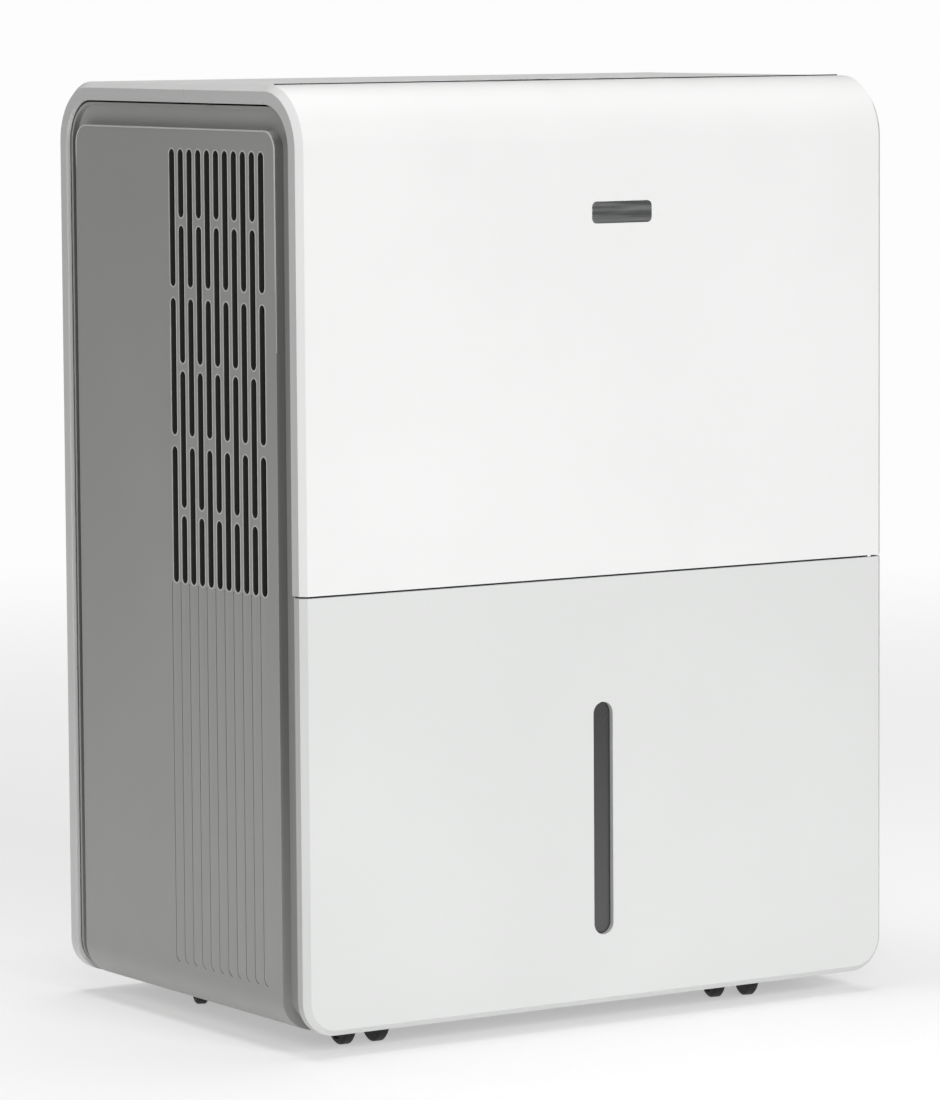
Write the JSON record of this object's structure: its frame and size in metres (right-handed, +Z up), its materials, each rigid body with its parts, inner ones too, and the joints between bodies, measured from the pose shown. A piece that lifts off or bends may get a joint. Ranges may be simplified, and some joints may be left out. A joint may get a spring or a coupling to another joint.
{
  "type": "dehumidifier",
  "caption": "Free-standing compressor dehumidifier with white wrap-round casing, recessed grey slotted sides, pull-out front water bucket with level window, and twin-wheel casters.",
  "frame": {"origin": "on the floor under the middle of the cabinet, centre of the footprint box", "axes": "+Z up, +X to the right seen from the front, the bucket and front face point along -Y"},
  "size_m": [0.392, 0.268, 0.53],
  "materials": {
    "white_casing": "fine satin moulded",
    "bucket_casing": "fine satin moulded",
    "grey_panel": "fine satin moulded",
    "dark_plastic": "matte moulded",
    "black_plastic": "matte moulded",
    "wheel_plastic": "satin moulded",
    "white_plastic": "satin moulded",
    "tub_plastic": "translucent grey moulded",
    "smoked_window": "smoked clear",
    "black_lens": "polished",
    "button_plastic": "satin",
    "badge_metal": "brushed",
    "circuit_board": "solder mask",
    "steel": "zinc plated",
    "zinc_sheet": "galvanised",
    "capacitor_can": "drawn can",
    "black_rubber": "moulded",
    "coil_aluminium": "bare fins",
    "black_steel": "satin black enamel",
    "copper": "drawn copper",
    "filter_mesh": "woven mesh"
  },
  "bodies": {
    "cabinet": {"front_panel": "white_casing", "top_panel": "white_casing", "rear_cover": "white_casing", "left_side_panel": "grey_panel", "right_side_panel": "grey_panel", "base_pan": "dark_plastic", "bucket_bay_liner": "dark_plastic", "mid_deck": "dark_plastic", "air_baffle": "dark_plastic", "badge": "badge_metal", "display_lens": "black_lens", "control_board": "circuit_board", "board_screws": "steel", "electrical_box": "zinc_sheet", "run_capacitor": "capacitor_can", "humidity_sensor": "white_plastic", "bucket_sensor": "black_plastic", "drain_pan": "dark_plastic", "drain_outlet": "white_plastic", "cord_inlet": "black_rubber", "evaporator": "coil_aluminium", "condenser": "coil_aluminium", "compressor": "black_steel", "compressor_grommets": "black_rubber", "compressor_bolts": "steel", "refrigerant_tubes": "copper", "filter_drier": "copper", "fan_scroll": "dark_plastic", "fan_motor": "zinc_sheet", "case_screws": "steel"},
    "fan": {"fan_wheel": "black_plastic", "fan_shaft": "steel"},
    "filter": {"air_filter_frame": "white_plastic", "air_filter_mesh": "filter_mesh"},
    "bucket": {"bucket_front": "bucket_casing", "bucket_tub": "tub_plastic", "bucket_window": "smoked_window", "bucket_lid": "white_plastic", "bucket_screws": "steel"},
    "handle": {"bucket_handle": "white_plastic"},
    "float": {"bucket_float": "white_plastic"},
    "plug": {"drain_plug": "black_rubber"},
    "button_power_key": {"button_power": "button_plastic"},
    "button_mode_key": {"button_mode": "button_plastic"},
    "button_fan_key": {"button_fan": "button_plastic"},
    "button_timer_key": {"button_timer": "button_plastic"},
    "button_up_key": {"button_up": "button_plastic"},
    "button_down_key": {"button_down": "button_plastic"},
    "swivel_front_left": {"caster_front_left": "black_plastic"},
    "wheel_pair_front_left": {"wheels_front_left": "wheel_plastic", "axle_front_left": "steel"},
    "swivel_front_right": {"caster_front_right": "black_plastic"},
    "wheel_pair_front_right": {"wheels_front_right": "wheel_plastic", "axle_front_right": "steel"},
    "swivel_rear_left": {"caster_rear_left": "black_plastic"},
    "wheel_pair_rear_left": {"wheels_rear_left": "wheel_plastic", "axle_rear_left": "steel"},
    "swivel_rear_right": {"caster_rear_right": "black_plastic"},
    "wheel_pair_rear_right": {"wheels_rear_right": "wheel_plastic", "axle_rear_right": "steel"}
  },
  "joints": [
    {"name": "bucket_slide", "type": "slide", "parent": "cabinet", "child": "bucket", "axis": [0, -1, 0], "range_m": [0, 0.18]},
    {"name": "handle_swing", "type": "hinge", "parent": "bucket", "child": "handle", "pos_m": [0, -0.062, 0.186], "axis": [-1, 0, 0], "range_deg": [0, 57]},
    {"name": "float_lift", "type": "hinge", "parent": "bucket", "child": "float", "pos_m": [-0.131, -0.008, 0.183], "axis": [-1, 0, 0], "range_deg": [0, 16]},
    {"name": "fan_spin", "type": "hinge", "parent": "cabinet", "child": "fan", "pos_m": [0.025, -0.085, 0.382], "axis": [0, 1, 0], "continuous": true},
    {"name": "filter_slide", "type": "slide", "parent": "cabinet", "child": "filter", "axis": [0, 1, 0], "range_m": [0, 0.04]},
    {"name": "plug_slide", "type": "slide", "parent": "cabinet", "child": "plug", "axis": [0, 1, 0], "range_m": [0, 0.025]},
    {"name": "power_press", "type": "slide", "parent": "cabinet", "child": "button_power_key", "axis": [0, 0, -1], "range_m": [0, 0.001], "stiffness_N_per_m": 500},
    {"name": "mode_press", "type": "slide", "parent": "cabinet", "child": "button_mode_key", "axis": [0, 0, -1], "range_m": [0, 0.001], "stiffness_N_per_m": 500},
    {"name": "fan_press", "type": "slide", "parent": "cabinet", "child": "button_fan_key", "axis": [0, 0, -1], "range_m": [0, 0.001], "stiffness_N_per_m": 500},
    {"name": "timer_press", "type": "slide", "parent": "cabinet", "child": "button_timer_key", "axis": [0, 0, -1], "range_m": [0, 0.001], "stiffness_N_per_m": 500},
    {"name": "up_press", "type": "slide", "parent": "cabinet", "child": "button_up_key", "axis": [0, 0, -1], "range_m": [0, 0.001], "stiffness_N_per_m": 500},
    {"name": "down_press", "type": "slide", "parent": "cabinet", "child": "button_down_key", "axis": [0, 0, -1], "range_m": [0, 0.001], "stiffness_N_per_m": 500},
    {"name": "swivel_turn_front_left", "type": "hinge", "parent": "cabinet", "child": "swivel_front_left", "pos_m": [-0.141, -0.0904, 0.034], "axis": [0, 0, 1], "continuous": true},
    {"name": "wheel_roll_front_left", "type": "hinge", "parent": "swivel_front_left", "child": "wheel_pair_front_left", "pos_m": [-0.14205, -0.10035, 0.013], "axis": [0.9945, -0.1045, 0], "continuous": true},
    {"name": "swivel_turn_front_right", "type": "hinge", "parent": "cabinet", "child": "swivel_front_right", "pos_m": [0.113, -0.0904, 0.034], "axis": [0, 0, 1], "continuous": true},
    {"name": "wheel_roll_front_right", "type": "hinge", "parent": "swivel_front_right", "child": "wheel_pair_front_right", "pos_m": [0.11058, -0.1001, 0.013], "axis": [0.9703, -0.2419, 0], "continuous": true},
    {"name": "swivel_turn_rear_left", "type": "hinge", "parent": "cabinet", "child": "swivel_rear_left", "pos_m": [-0.141, 0.0585, 0.034], "axis": [0, 0, 1], "continuous": true},
    {"name": "wheel_roll_rear_left", "type": "hinge", "parent": "swivel_rear_left", "child": "wheel_pair_rear_left", "pos_m": [-0.14475, 0.04923, 0.013], "axis": [0.9272, -0.3746, 0], "continuous": true},
    {"name": "swivel_turn_rear_right", "type": "hinge", "parent": "cabinet", "child": "swivel_rear_right", "pos_m": [0.113, 0.0585, 0.034], "axis": [0, 0, 1], "continuous": true},
    {"name": "wheel_roll_rear_right", "type": "hinge", "parent": "swivel_rear_right", "child": "wheel_pair_rear_right", "pos_m": [0.11508, 0.04872, 0.013], "axis": [0.9781, 0.2079, 0], "continuous": true}
  ]
}
